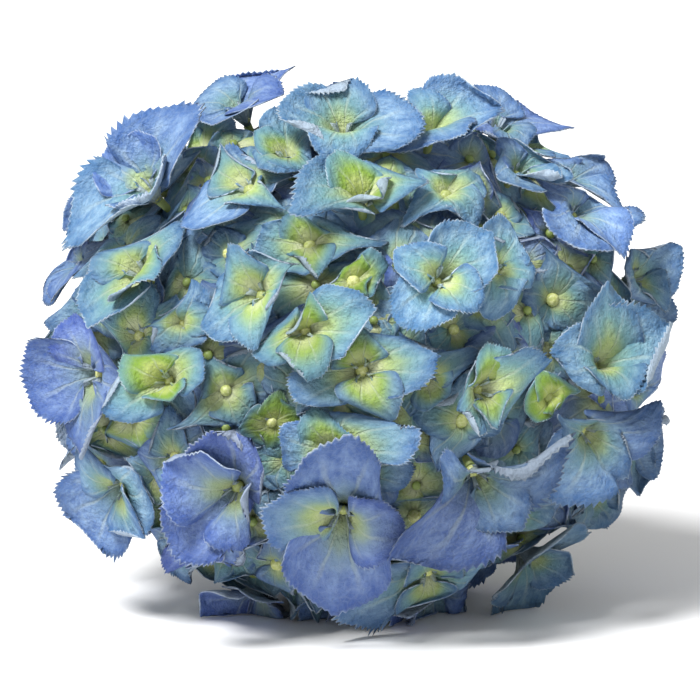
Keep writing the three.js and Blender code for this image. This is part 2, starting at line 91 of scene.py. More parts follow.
def straight_stalk(sides, steps):
    """A straight round stalk of radius 1, from -0.5 to 0.5 along Z, with its long edges cut into steps."""
    bpy.ops.mesh.primitive_cylinder_add(vertices=sides, radius=1, depth=1, end_fill_type="NGON")
    stalk = bpy.context.object
    select_edges(stalk, lambda one, other: one.z * other.z < 0)
    bpy.ops.mesh.subdivide(number_cuts=steps - 1)
    bpy.ops.object.mode_set(mode="OBJECT")
    for face in stalk.data.polygons:
        face.use_smooth = abs(face.normal.z) < 0.5
    return stalk


def points_of(thing):
    """A piece's points, one to a row."""
    flat = np.empty(3 * len(thing.data.vertices), np.float32)
    thing.data.vertices.foreach_get("co", flat)
    return flat.reshape(-1, 3).astype(float)


def copy_to(pattern, points):
    """A copy of a piece with its own mesh, its points put elsewhere, in millimetres."""
    copy = bpy.data.objects.new(pattern.name, pattern.data.copy())
    bpy.context.collection.objects.link(copy)
    copy.data.vertices.foreach_set("co", (points * MM).astype(np.float32).ravel())
    return copy


def grow_along(pattern, path, radii):
    """A copy of the straight stalk, bent along a path, with a radius for each of the path's points."""
    straight = points_of(pattern)
    ring = np.rint((straight[:, 2] + 0.5) * (len(path) - 1)).astype(int)
    ways = unit(np.gradient(path, axis=0))
    reference = ACROSS if abs(ways[0] @ ACROSS) < NEARLY_ALONG else HEAD_UPRIGHT
    first = unit(reference - (ways @ reference)[:, None] * ways)
    second = np.cross(ways, first)
    round_it = straight[:, :1] * first[ring] + straight[:, 1:2] * second[ring]
    return copy_to(pattern, path[ring] + np.asarray(radii)[ring, None] * round_it)


def paint(piece, name, values):
    """A number for each point of the piece, for its material to read."""
    attribute = piece.data.attributes.new(name, "FLOAT", "POINT")
    count = len(piece.data.vertices)
    attribute.data.foreach_set("value", np.broadcast_to(values, count).astype(np.float32))


class Value:
    """A value in a material's node tree, which plain arithmetic can be done with."""

    def __init__(self, tree, socket):
        self.tree, self.socket = tree, socket

    def node(self, kind, settings, output, sockets):
        """A node of some type: its settings come first, then the values or links of its sockets."""
        node = self.tree.nodes.new(kind)
        for name, setting in settings.items():
            setattr(node, name, setting)
        for name, value in sockets.items():
            if isinstance(value, Value):
                self.tree.links.new(value.socket, node.inputs[name])
            else:
                node.inputs[name].default_value = value
        return Value(self.tree, node.outputs[output])

    def math(self, operation, first, second=0.0):
        """A Math node on one or two values."""
        return self.node("ShaderNodeMath", {"operation": operation}, 0, {0: first, 1: second})

    def __add__(self, other):
        return self.math("ADD", self, other)

    def __radd__(self, other):
        return self.math("ADD", other, self)

    def __sub__(self, other):
        return self.math("SUBTRACT", self, other)

    def __rsub__(self, other):
        return self.math("SUBTRACT", other, self)

    def __mul__(self, other):
        return self.math("MULTIPLY", self, other)

    def __rmul__(self, other):
        return self.math("MULTIPLY", other, self)

    def __pow__(self, other):
        return self.math("POWER", self, other)

    def wave(self):
        return self.math("SINE", self)

    def between(self, low, high):
        """0 where the value is low, 1 where it is high, and smooth between."""
        settings = {"interpolation_type": "SMOOTHSTEP"}
        sockets = {"Value": self, "From Min": low, "From Max": high}
        return self.node("ShaderNodeMapRange", settings, 0, sockets)


class Finish:
    """A material, and the ways in which this file adds to its nodes."""

    def __init__(self, name, roughness):
        self.made = bpy.data.materials.new(name)
        self.made.use_nodes = True
        self.tree = self.made.node_tree
        self.shader = self.tree.nodes["Principled BSDF"]
        self.shader.inputs["Roughness"].default_value = roughness
        self.start = Value(self.tree, None)

    def node(self, kind, output, sockets, **settings):
        return self.start.node(kind, settings, output, sockets)

    def painted(self, name):
        return self.node("ShaderNodeAttribute", "Fac", {}, attribute_name=name)

    def place(self):
        return self.node("ShaderNodeTexCoord", "Object", {})

    def spot(self, x, y, z):
        return self.node("ShaderNodeCombineXYZ", "Vector", {"X": x, "Y": y, "Z": z})

    def noise(self, scale, detail=3.0, roughness=0.5, place=None):
        place = place or self.place()
        sockets = {"Vector": place, "Scale": scale, "Detail": detail, "Roughness": roughness}
        return self.node("ShaderNodeTexNoise", 0, sockets)

    def mix(self, share, first, second, blend="MIX"):
        """Two colours: the second takes its share. A colour mix has its sockets at 0, 6, 7 and 2."""
        sockets = {0: share, 6: first, 7: second}
        return self.node("ShaderNodeMix", 2, sockets, data_type="RGBA", blend_type=blend)

    def colour(self, value):
        self.tree.links.new(value.socket, self.shader.inputs["Base Color"])

    def relief(self, height, strength, depth):
        sockets = {"Height": height, "Strength": strength, "Distance": depth}
        bump = self.node("ShaderNodeBump", "Normal", sockets)
        self.tree.links.new(bump.socket, self.shader.inputs["Normal"])


def seen_colour(red, green, blue):
    """A colour given as it looks on a screen, from 0 to 255, as a shader wants it."""
    linear = [((c / 255 + 0.055) / 1.055) ** 2.4 if c > 10 else c / 255 / 12.92 for c in (red, green, blue)]
    return (*linear, 1.0)


BARK_LIGHT, BARK_DARK = seen_colour(146, 154, 92), seen_colour(108, 122, 62)
PORE_PALE, SCAR_BROWN = seen_colour(178, 160, 118), seen_colour(122, 96, 62)
PITH_LIGHT, PITH_DARK = seen_colour(214, 216, 170), seen_colour(192, 198, 140)
STREAK_SCALE, SPECKLE_SCALE, PORE_SCALE = 700.0, 1100.0, 520.0
STREAK_STRETCH, PORE_STRETCH = 0.12, 0.45
PORE_REACH = 0.24
CUT_HEIGHT, CUT_EDGE = 0.0001, 0.0002
BARK_RELIEF = 0.0005


def bark_finish():
    """Green bark with long streaks and pale pores, brown at the leaf joint, and pale pith on the cut."""
    finish = Finish("stem bark", roughness=0.55)
    spot = finish.node("ShaderNodeSeparateXYZ", "X", {"Vector": finish.place()})
    x, y, z = (Value(finish.tree, spot.socket.node.outputs[axis]) for axis in "XYZ")
    along = z * HEAD_AXIS[2] + y * HEAD_AXIS[1]
    up = z * HEAD_UPRIGHT[2] + y * HEAD_UPRIGHT[1]
    streaks = finish.noise(STREAK_SCALE, 3.0, 0.6, finish.spot(x, up, along * STREAK_STRETCH))
    speckle = finish.noise(SPECKLE_SCALE, 2.0, 0.5)
    pore_place = finish.spot(x, up, along * PORE_STRETCH)
    pores = finish.node("ShaderNodeTexVoronoi", "Distance", {"Vector": pore_place, "Scale": PORE_SCALE})
    green = finish.mix(streaks.between(0.35, 0.65), BARK_DARK, BARK_LIGHT)
    pored = finish.mix((PORE_REACH - pores).between(0.0, 0.08), green, PORE_PALE)
    corky = finish.mix(finish.painted("corky") * speckle.between(0.3, 0.6), pored, SCAR_BROWN)
    pith = finish.mix(speckle.between(0.35, 0.65), PITH_LIGHT, PITH_DARK)
    finish.colour(finish.mix((CUT_HEIGHT - z).between(0.0, CUT_EDGE), corky, pith))
    finish.relief(streaks * 0.6 + (PORE_REACH - pores).between(0.0, 0.1), 0.4, BARK_RELIEF)
    return finish.made


stem_top = RAY_ROOT - (COLLAR_LENGTH / 2 + STEM_GAP) * HEAD_AXIS
stem_end = HEAD_CENTRE - (HEAD_CENTRE[2] + STEM_BELOW_TABLE) / math.sin(HEAD_TILT) * HEAD_AXIS
stem_middle = (stem_top + stem_end) / 2 - STEM_BOW * HEAD_UPRIGHT
along_stem = np.linspace(0, 1, STEM_STEPS + 1)
share = along_stem[:, None]
stem_path = (1 - share) ** 2 * stem_top + 2 * share * (1 - share) * stem_middle + share**2 * stem_end
at_joint = np.exp(-(((along_stem - LEAF_JOINT) / LEAF_JOINT_LENGTH) ** 2))
stem_waves = STEM_WAVE * np.sin(STEM_WAVE_TURNS * along_stem)
stem_radii = STEM_RADIUS * (1 + LEAF_JOINT_SWELLING * at_joint + stem_waves)

straight = straight_stalk(STEM_SIDES, STEM_STEPS)
stem_piece = grow_along(straight, stem_path, stem_radii)
stem_piece.name = "bark"
ring_of_point = np.rint((points_of(straight)[:, 2] + 0.5) * STEM_STEPS).astype(int)
corky = np.exp(-(((along_stem - LEAF_JOINT) / LEAF_SCAR_LENGTH) ** 2))
paint(stem_piece, "corky", corky[ring_of_point])
bpy.data.objects.remove(straight)
bpy.ops.object.select_all(action="DESELECT")
stem_piece.select_set(True)
bpy.context.view_layer.objects.active = stem_piece
bpy.ops.object.mode_set(mode="EDIT")
bpy.ops.mesh.select_all(action="SELECT")
bpy.ops.mesh.bisect(plane_co=(0, 0, 0), plane_no=(0, 0, 1), use_fill=True, clear_inner=True)
bpy.ops.object.mode_set(mode="OBJECT")
stem_piece.data.materials.append(bark_finish())
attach(stem_piece, "root")
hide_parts("stem")

# The rays and their collar.
# At the top of the stem a thick green collar forks into a dozen rays, which carry all the stalks of the
# florets. They bend out of the stem's line towards evenly spread places under the dome.
BUD_SHELL = (85, 74, 63)
LAST_RING = math.radians(124)
GOLDEN_ANGLE = math.pi * (3 - math.sqrt(5))
COLLAR_PROFILE = ((0, 0.1, 0.3, 0.55, 0.8, 0.93, 1), (4.3, 4.6, 5.1, 5.6, 5.5, 4.9, 3.6))
COLLAR_STEPS = 14
RAY_COUNT = 12
RAY_LENGTH_SHARE = 0.6
RAY_THICK, RAY_THIN = 2.0, 1.3
RAY_SIDES, RAY_STEPS = 10, 10


def spiral_seat(index, count):
    """A place on the dome's shell, one of a number spread evenly from its middle to its rim."""
    turn = index * GOLDEN_ANGLE
    along_axis = 1 + (math.cos(LAST_RING) - 1) * (index + 0.5) / count
    ring = math.sqrt(1 - along_axis**2)
    return (
        HEAD_CENTRE
        + BUD_SHELL[0] * ring * math.cos(turn) * ACROSS
        + BUD_SHELL[1] * ring * math.sin(turn) * HEAD_UPRIGHT
        + BUD_SHELL[2] * along_axis * HEAD_AXIS
    )


def bent_path(start, start_way, end, end_way, steps):
    """A smooth path that leaves and arrives in given directions."""
    pull = np.linalg.norm(end - start) / 3
    a, b, c, d = start, start + pull * start_way, end - pull * end_way, end
    t = np.linspace(0, 1, steps + 1)[:, None]
    return (1 - t) ** 3 * a + 3 * (1 - t) ** 2 * t * b + 3 * (1 - t) * t**2 * c + t**3 * d


def join_as(name, parts):
    """Several copies made one piece."""
    bpy.ops.object.select_all(action="DESELECT")
    for part in parts:
        part.select_set(True)
    bpy.context.view_layer.objects.active = parts[0]
    bpy.ops.object.join()
    piece = bpy.context.object
    piece.name = name
    return piece


STALK_DARK, STALK_LIGHT = seen_colour(120, 142, 72), seen_colour(154, 166, 100)
SPECK_BROWN = seen_colour(112, 98, 62)
SPECK_SCALE, PATCH_SCALE = 1500.0, 80.0
SKIN_RELIEF = 0.0003


def stalk_finish():
    """Tender green with a bloom of small brown specks."""
    finish = Finish("stalk skin", roughness=0.5)
    speckle = finish.noise(SPECK_SCALE, 3.0, 0.6)
    patches = finish.noise(PATCH_SCALE, 2.0, 0.5)
    green = finish.mix(patches.between(0.35, 0.65), STALK_DARK, STALK_LIGHT)
    finish.colour(finish.mix(speckle.between(0.58, 0.75) * 0.5, green, SPECK_BROWN))
    finish.relief(speckle, 0.3, SKIN_RELIEF)
    return finish.made


stalk_skin = stalk_finish()
collar_path = RAY_ROOT + np.outer(np.linspace(-0.5, 0.5, COLLAR_STEPS + 1) * COLLAR_LENGTH, HEAD_AXIS)
collar_radii = np.interp(np.linspace(0, 1, COLLAR_STEPS + 1), *COLLAR_PROFILE)
straight = straight_stalk(STEM_SIDES, COLLAR_STEPS)
collar = grow_along(straight, collar_path, collar_radii)
collar.name = "collar"
bpy.data.objects.remove(straight)

ray_tips = [RAY_ROOT + RAY_LENGTH_SHARE * (spiral_seat(i, RAY_COUNT) - RAY_ROOT) for i in range(RAY_COUNT)]
straight = straight_stalk(RAY_SIDES, RAY_STEPS)
ray_parts = []
for tip in ray_tips:
    way = unit(tip - RAY_ROOT)
    path = bent_path(RAY_ROOT, unit(way + HEAD_AXIS), tip, way, RAY_STEPS)
    ray_parts.append(grow_along(straight, path, np.linspace(RAY_THICK, RAY_THIN, RAY_STEPS + 1)))
rays = join_as("rays", ray_parts)
bpy.data.objects.remove(straight)
for piece in (collar, rays):
    piece.data.materials.append(stalk_skin)
    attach(piece, "root")
    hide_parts("flower_head")

# Where the florets sit.
# A mophead's florets make one crowded dome. Those that the photograph shows are placed by it, where the
# head is 642 pixels wide and 200 mm in life. The others fill a spiral, and smaller ones sit in the shade
# below.
VIEW_ELEVATION = math.radians(12)
TOWARDS_VIEWER = np.array([0, -math.cos(VIEW_ELEVATION), math.sin(VIEW_ELEVATION)])
PICTURE_UP = np.array([0, math.sin(VIEW_ELEVATION), math.cos(VIEW_ELEVATION)])
HEAD_WIDTH = 200
PHOTO_HEAD_PIXELS = 642
PHOTO_CENTRE = (351, 352)
MM_PER_PIXEL = HEAD_WIDTH / PHOTO_HEAD_PIXELS
LIFT_HEIGHT = 5
EDGE_REACH = 1.03
RADIAL_SHARE = 0.35
SHOWN_LEAN = 0.35
SEPALS_EACH = 4
OUTER_LENGTH, INNER_LENGTH = 1.44, 1.12
LENGTH_SPREAD = 0.14
HEADING_SPREAD = 13
INNER_RISE, RISE_SPREAD = 6, 11
CURL, CURL_SPREAD = 26, 24
HOLLOW, HOLLOW_SPREAD = 0.36, 0.26
TWIST_SPREAD = 2.4
ANY_TURN = 180
LEAN_SPREAD = 0.3
FILL_CANDIDATES = 900
FILL_SPACING = 18
FILL_REACH, FILL_REACH_SPREAD = 16.5, 1.5
FILL_LIFT, FILL_LIFT_SPREAD = -0.5, 0.4
FILL_RISE, FILL_RISE_SPREAD = 28, 12
FILL_GREEN, FILL_VIOLET, FILL_BRIGHT = 0.3, 0.4, 0.9
LESS_VIOLET_ABOVE = 0.2
UNDER_CANDIDATES = 900
UNDER_LAYERS = ((1.0, 11, 20.5), (0.92, 13, 20), (0.8, 16, 23))
UNDER_SHOWN_LEAN = 0.8
UNDER_SHOWN_FROM = 0.45
UNDER_RISE = 24
UNDER_LIFT = -3
# The florets in the shade below are painted darker, as painted shade, and lighter the higher they sit, as
# painted light from above.
UNDER_GREEN, UNDER_VIOLET, UNDER_PAINTED_SHADE = 0.28, 0.4, 0.78
UNDER_GREEN_SPREAD, UNDER_VIOLET_SPREAD = 0.25, 0.3
PAINTED_LIGHT_ABOVE = 0.14

# Each row has a floret's middle and reach in pixels, the turn of its first sepal, its cup's rise, how
# far it stands proud of its neighbours, how far it leans right and up, how green and how violet it is,
# and how bright it is painted: painted light and shade, lighter where the light falls and darker in the
# shade, with some of its own tone.
SEEN_FLORETS = [
    # the middle of the dome
    (353, 287, 33, 20, 55, 0.5, 0.0, 0.1, 1.0, 0.0, 0.95),
    (308, 332, 46, 5, 34, 0.8, 0.0, -0.15, 0.75, 0.1, 0.95),
    (269, 299, 52, 25, 35, 0.5, -0.45, 0.0, 0.62, 0.15, 1.05),
    (432, 287, 49, 50, 20, 0.8, 0.0, 0.0, 0.5, 0.15, 1.1),
    (447, 330, 44, 30, 15, -0.6, 0.2, -0.2, 0.25, 0.3, 0.9),
    (362, 213, 50, 30, 48, 0.5, 0.0, 0.45, 0.7, 0.1, 1.0),
    (362, 370, 56, 5, 30, 0.25, -0.1, 0.0, 0.65, 0.3, 0.87),
    (420, 378, 48, 30, 35, -0.2, 0.1, -0.2, 0.5, 0.3, 0.75),
    (467, 388, 50, 5, 42, 0.5, 0.45, 0.0, 0.7, 0.2, 1.0),
    (486, 276, 46, 70, 40, -0.1, 0.2, 0.2, 0.5, 0.15, 0.95),
    (441, 205, 52, 45, 45, 0.2, 0.1, 0.25, 0.5, 0.2, 1.0),
    # the upper left
    (256, 199, 62, 40, 35, 0.3, -0.35, 0.2, 0.45, 0.3, 1.08),
    (291, 172, 48, 50, 45, 0.1, -0.1, 0.3, 0.6, 0.2, 1.05),
    (312, 252, 54, 20, 40, 0.1, 0.0, 0.0, 0.7, 0.1, 0.85),
    (343, 150, 56, 10, 35, 0.4, 0.0, 0.15, 0.35, 0.25, 1.05),
    (162, 203, 58, 35, 34, 0.45, -0.15, 0.1, 0.2, 0.4, 1.06),
    (156, 283, 58, 45, 36, 0.5, -0.2, 0.25, 0.6, 0.15, 1.0),
    (190, 325, 50, 80, 60, 0.1, 0.2, 0.0, 0.45, 0.35, 0.95),
    (100, 208, 47, 80, 30, 0.0, -0.05, 0.05, 0.1, 0.5, 0.95),
    (72, 262, 42, 0, 35, -0.2, -0.05, 0.0, 0.1, 0.5, 0.9),
    (205, 157, 44, 80, 40, -0.6, 0.1, 0.05, 0.7, 0.2, 1.0),
    (247, 124, 50, 65, 30, 0.2, -0.1, 0.0, 0.15, 0.5, 1.08),
    (292, 104, 42, 60, 35, -0.4, 0.0, -0.05, 0.15, 0.35, 1.0),
    (335, 110, 46, 90, 25, -0.3, 0.0, -0.05, 0.1, 0.5, 0.95),
    # the upper right
    (427, 147, 54, 35, 46, 0.4, 0.0, 0.1, 0.45, 0.35, 1.05),
    (475, 112, 44, 90, 30, -0.4, 0.2, -0.05, 0.25, 0.35, 1.05),
    (492, 140, 50, 30, 30, 0.1, 0.1, 0.0, 0.15, 0.5, 1.05),
    (535, 138, 44, 10, 30, -0.1, 0.1, 0.0, 0.45, 0.3, 0.95),
    (510, 182, 48, 50, 35, 0.0, 0.1, 0.0, 0.2, 0.3, 1.0),
    (575, 174, 50, 60, 30, 0, 0.1, 0.0, 0.15, 0.45, 1.0),
    (565, 222, 60, 50, 34, 0.2, 0.1, 0.1, 0.1, 0.55, 1.15),
    (604, 222, 38, 20, 35, -0.4, 0.1, 0.0, 0.5, 0.3, 0.9),
    (543, 302, 58, 70, 35, -0.2, 0.1, -0.1, 0.3, 0.2, 0.68),
    (622, 283, 50, 45, 35, 0, 0.05, 0.0, 0.35, 0.2, 0.8),
    (634, 318, 44, 0, 30, -0.4, 0.05, 0.0, 0.15, 0.3, 0.8),
    # the right
    (583, 368, 58, 20, 38, 0.4, -0.1, 0.3, 0.4, 0.15, 0.88),
    (616, 388, 56, 10, 30, 0.1, 0.3, 0.1, 0.15, 0.5, 0.9),
    (570, 424, 62, 30, 40, 0.5, 0.0, -0.25, 0.4, 0.35, 0.8),
    (538, 396, 38, 30, 50, 0, 0.1, 0.1, 1.0, 0.0, 1.15),
    (622, 440, 50, 0, 30, 0, 0.1, -0.1, 0.2, 0.35, 0.68),
    (588, 492, 52, 30, 30, -0.1, 0.1, -0.15, 0.3, 0.2, 0.58),
    # the lower rim
    (455, 418, 54, 80, 40, 0.0, 0.0, 0.1, 0.35, 0.35, 0.95),
    (466, 462, 68, 30, 32, 0.6, 0.0, -0.45, 0.12, 0.55, 0.64),
    (508, 503, 58, 30, 20, -0.1, 0.1, -0.25, 0.15, 0.3, 0.6),
    (518, 547, 56, 70, 28, 0.2, 0.0, -0.1, 0.3, 0.2, 0.66),
    (425, 562, 60, 0, 20, 0.1, 0.0, -0.2, 0.4, 0.3, 0.72),
    (362, 465, 52, 80, 30, -0.1, 0.2, 0.1, 0.3, 0.45, 0.9),
    (336, 445, 60, 10, 40, 0.3, -0.2, 0.1, 0.65, 0.25, 1.0),
    (344, 499, 66, 85, 18, 0.4, 0.0, -0.45, 0.35, 0.6, 0.88),
    (355, 590, 48, 0, 25, -0.2, 0.0, -0.2, 0.15, 0.6, 0.76),
    (280, 555, 50, 0, 20, -0.3, 0.0, -0.15, 0.35, 0.5, 0.75),
    (260, 583, 54, 70, 22, 0, -0.1, -0.2, 0.15, 0.7, 0.9),
    (213, 512, 56, 60, 15, 0, -0.2, -0.3, 0.15, 0.75, 0.92),
    (245, 478, 66, 60, 30, 0.7, -0.2, -0.2, 0.2, 0.75, 0.86),
    # the left
    (133, 478, 60, 55, 22, 0.1, -0.2, -0.2, 0.3, 0.4, 0.95),
    (74, 478, 40, 10, 30, -0.4, -0.05, 0.0, 0.1, 0.4, 0.85),
    (112, 372, 62, 15, 28, 0.1, -0.3, -0.2, 0.15, 0.65, 0.86),
    (122, 308, 52, 0, 30, -0.1, 0.0, 0.0, 0.4, 0.4, 0.9),
    (150, 338, 52, 10, 35, 0.1, -0.1, 0.1, 0.55, 0.15, 0.95),
    (178, 380, 48, 30, 45, 0.2, 0.1, 0.1, 0.8, 0.1, 1.0),
    (140, 412, 50, 30, 40, -0.3, 0.0, -0.2, 0.75, 0.2, 0.85),
    (232, 388, 56, 40, 35, -0.2, 0.1, -0.1, 0.5, 0.2, 0.75),
    (276, 418, 38, 0, 55, -0.4, 0.0, 0.0, 1.0, 0.0, 0.75),
]


def seeded_random(seed):
    """Park and Miller's generator, so that every run grows the same head."""
    state = seed
    while True:
        state = state * 16807 % 2147483647
        yield state / 2147483647


draws = seeded_random(20731)


def spread_of(size):
    """The next draw, somewhere from minus this size to plus this size."""
    return size * (2 * next(draws) - 1)


def any_lean():
    """A small lean to any side."""
    return np.array([spread_of(LEAN_SPREAD) for _ in range(3)])


def height_share(point):
    """How high a point is in the head: 0 at its middle, about 1 at its top."""
    return (point[2] - HEAD_CENTRE[2]) / BUD_SHELL[1]


def outward_at(point):
    """The way out of the dome's shell, part its own normal and part the line from the rays' root."""
    from_centre = point - HEAD_CENTRE
    normal = sum(
        axis * from_centre.dot(axis) / half**2
        for axis, half in zip((ACROSS, HEAD_UPRIGHT, HEAD_AXIS), BUD_SHELL)
    )
    return unit((1 - RADIAL_SHARE) * unit(normal) + RADIAL_SHARE * unit(point - RAY_ROOT))


def on_shell_at(pixel_x, pixel_y, lift):
    """Where a pixel meets the near side of the shell, swollen by the floret's lift, or the shell's edge."""
    across = (pixel_x - PHOTO_CENTRE[0]) * MM_PER_PIXEL
    up = (PHOTO_CENTRE[1] - pixel_y) * MM_PER_PIXEL
    lean = HEAD_TILT - VIEW_ELEVATION
    half_across, half_upright, half_deep = (half + lift * LIFT_HEIGHT for half in BUD_SHELL)
    upright_weight, deep_weight = half_upright**-2, half_deep**-2
    depth_weight = math.sin(lean) ** 2 * upright_weight + math.cos(lean) ** 2 * deep_weight
    half_up = math.sqrt(depth_weight / (upright_weight * deep_weight))
    beyond_edge = max(1, math.hypot(across / half_across, up / half_up) / EDGE_REACH)
    across, up = across / beyond_edge, up / beyond_edge
    inside = max(0, 1 - (across / half_across) ** 2 - (up / half_up) ** 2)
    shift = up * math.sin(lean) * math.cos(lean) * (deep_weight - upright_weight) / depth_weight
    near = math.sqrt(inside / depth_weight) - shift
    return HEAD_CENTRE + across * ACROSS + up * PICTURE_UP + near * TOWARDS_VIEWER


class Floret:
    """One floret: where it sits and faces, the draws of its four sepals, and its neighbours' walls."""

    def __init__(self, centre, facing, reach, turn, rise, lift, green, violet, bright):
        self.centre, self.facing = centre, facing
        self.reach, self.lift = reach, lift
        self.green, self.violet, self.bright = green, violet, bright
        self.right, self.up = self.plane_axes()
        self.sepals = [self.draw_sepal(number, turn, rise) for number in range(SEPALS_EACH)]
        self.walls = []

    def plane_axes(self):
        """To the right and up as the picture has them, where the facing allows."""
        sideways = abs(self.facing[0]) > NEARLY_ALONG
        reference = PICTURE_UP if sideways else ACROSS
        first = unit(reference - reference.dot(self.facing) * self.facing)
        second = np.cross(self.facing, first)
        return (-second, first) if sideways else (first, second)

    def draw_sepal(self, number, turn, rise):
        """Two crossed pairs: the inner sepals are smaller and stand up more."""
        inner = 1 if number % 2 else -1
        growth = INNER_LENGTH if inner > 0 else OUTER_LENGTH
        return {
            "heading": math.radians(turn + 360 / SEPALS_EACH * number + spread_of(HEADING_SPREAD)),
            "length": growth * self.reach * (1 + spread_of(LENGTH_SPREAD)),
            "rise": math.radians(rise + INNER_RISE * inner + spread_of(RISE_SPREAD)),
            "curl": math.radians(CURL + spread_of(CURL_SPREAD)),
            "hollow": HOLLOW + spread_of(HOLLOW_SPREAD),
            "twist": spread_of(TWIST_SPREAD),
            "inner": inner,
        }


def place_florets():
    """The florets of the photograph, then more along a spiral wherever the shell is still bare."""
    florets = []
    for x, y, reach, turn, rise, lift, right, up, green, violet, bright in SEEN_FLORETS:
        centre = on_shell_at(x, y, lift)
        facing = (1 - SHOWN_LEAN) * outward_at(centre) + SHOWN_LEAN * TOWARDS_VIEWER
        facing = unit(facing + right * ACROSS + up * PICTURE_UP)
        look = (green, violet, bright)
        florets.append(Floret(centre, facing, reach * MM_PER_PIXEL, turn, rise, lift, *look))
    for index in range(FILL_CANDIDATES):
        seat = spiral_seat(index, FILL_CANDIDATES)
        if any(np.linalg.norm(other.centre - seat) < FILL_SPACING for other in florets):
            continue
        reach = FILL_REACH + spread_of(FILL_REACH_SPREAD)
        lift = FILL_LIFT + spread_of(FILL_LIFT_SPREAD)
        rise = FILL_RISE + spread_of(FILL_RISE_SPREAD)
        centre = seat + lift * LIFT_HEIGHT * outward_at(seat)
        facing = unit(outward_at(centre) + any_lean())
        turn = spread_of(ANY_TURN)
        look = (FILL_GREEN, FILL_VIOLET - LESS_VIOLET_ABOVE * height_share(centre), FILL_BRIGHT)
        florets.append(Floret(centre, facing, reach, turn, rise, lift, *look))
    return florets


def place_under(florets, depth, spacing, reach):
    """Smaller florets in the shade below, which close the gaps between the others."""
    under = []
    for index in range(UNDER_CANDIDATES):
        seat = HEAD_CENTRE + depth * (spiral_seat(index, UNDER_CANDIDATES) - HEAD_CENTRE)
        if any(np.linalg.norm(other.centre - seat) < spacing for other in florets + under):
            continue
        shown = UNDER_SHOWN_LEAN * max(0, outward_at(seat) @ TOWARDS_VIEWER + UNDER_SHOWN_FROM)
        facing = outward_at(seat) + shown * TOWARDS_VIEWER
        facing = unit(facing + any_lean())
        look = [UNDER_GREEN + spread_of(UNDER_GREEN_SPREAD), UNDER_VIOLET + spread_of(UNDER_VIOLET_SPREAD)]
        # Painted shade: darker than the florets above them, and less dark higher up, where more light falls.
        look.append(UNDER_PAINTED_SHADE + PAINTED_LIGHT_ABOVE * height_share(seat))
        under.append(Floret(seat, facing, reach, spread_of(ANY_TURN), UNDER_RISE, UNDER_LIFT, *look))
    return under


florets = place_florets()

# How crowded florets press on each other.
# Between two neighbours stands an unseen wall that leans over the lower one. A sepal that meets it stops
# and climbs along it, so the sepals overlap like shingles and never cross.
WALL_LEAN = math.radians(56)
WALL_HEIGHT = 5
WALL_CLEARANCE = 0.6
WALL_SOFTNESS = 2.4
WALL_CLIMB = 0.6
GROWTH_RISE = 0.6
PRESSINGS = 3
ORDER_SPREAD = 0.5
CROWD_REACH = 1.35


def wall_between(one, other):
    """The foot of the wall between two florets, its normal out of the first, and its run over its width."""
    between = other.centre - one.centre
    distance = np.linalg.norm(between)
    if distance > CROWD_REACH * (one.reach + other.reach):
        return None
    towards = between / distance
    outward = one.facing + other.facing
    outward = unit(outward - outward.dot(towards) * towards)
    lean = WALL_LEAN if one.lift + spread_of(ORDER_SPREAD) > other.lift else -WALL_LEAN
    normal = math.cos(lean) * towards - math.sin(lean) * outward
    foot = one.centre + between * one.reach / (one.reach + other.reach) + WALL_HEIGHT * outward
    return foot, normal, np.cross(towards, outward) / min(one.reach, other.reach)


def crowd_together(florets):
    """A wall between every two florets that are near enough to touch."""
    for number, one in enumerate(florets):
        for other in florets[number + 1 :]:
            wall = wall_between(one, other)
            if wall:
                foot, normal, sideways = wall
                one.walls.append(wall)
                other.walls.append((foot, -normal, sideways))


def tuck_under(under, others):
    """The florets in the shade give way to all others."""
    for one in under:
        walls = [wall_between(one, other) for other in others]
        one.walls = [wall for wall in walls if wall]


def settle(points, heading, floret, looseness):
    """Points of a sepal, stopped at the floret's walls, and moved along them by most of what they lost."""
    free = points
    growth = heading + GROWTH_RISE * floret.facing
    for turn in range(PRESSINGS):
        for foot, normal, sideways in floret.walls:
            past = (points - foot) @ normal + WALL_CLEARANCE
            excess = (past + np.hypot(past, WALL_SOFTNESS)) / 2
            excess = excess * np.exp(-(((points - foot) @ sideways) ** 2))
            points = points - excess[:, None] * normal
            if turn == 0:
                along = unit(growth - growth.dot(normal) * normal)
                points = points + WALL_CLIMB * excess[:, None] * along
    return free + looseness[:, None] * (points - free)


crowd_together(florets)
under_layers = []
for depth, spacing, reach in UNDER_LAYERS:
    layer = place_under(florets, depth, spacing, reach)
    tuck_under(layer, florets)
    under_layers.append(layer)
all_florets = sum(under_layers, florets)

# The stalks.
# Each floret hangs on a thin round stalk that leaves the nearest ray and widens under the floret.
STALK_CLIMB = 1
STALK_STEP = 4.5
STALK_LOWEST = 0.3
STALK_HIGHEST = 0.97
STALK_SIDES, STALK_STEPS = 7, 8
STALK_PROFILE = ((0, 0.1, 0.85, 1), (0.95, 0.7, 0.7, 1.5))
STALK_PAST_FLORET = 0.2


def stalk_joints(florets, tips):
    """Where each floret's stalk leaves a ray, each stalk of a ray a little below the one before."""
    on_ray = [[] for _ in tips]
    for floret in florets:
        distances = [np.linalg.norm(tip - floret.centre) for tip in tips]
        nearest = distances.index(min(distances))
        ray = tips[nearest] - RAY_ROOT
        direction = unit(ray)
        to_floret = floret.centre - RAY_ROOT
        off = np.linalg.norm(np.cross(to_floret, direction))
        share = (to_floret.dot(direction) - STALK_CLIMB * off) / np.linalg.norm(ray)
        on_ray[nearest].append((share, floret, ray))
    joints = []
    for stalks in on_ray:
        highest = STALK_HIGHEST
        for share, floret, ray in sorted(stalks, key=lambda stalk: -stalk[0]):
            taken = min(max(share, STALK_LOWEST), highest)
            joints.append((floret, RAY_ROOT + taken * ray, unit(ray)))
            highest = max(STALK_LOWEST, taken - STALK_STEP / np.linalg.norm(ray))
    return joints


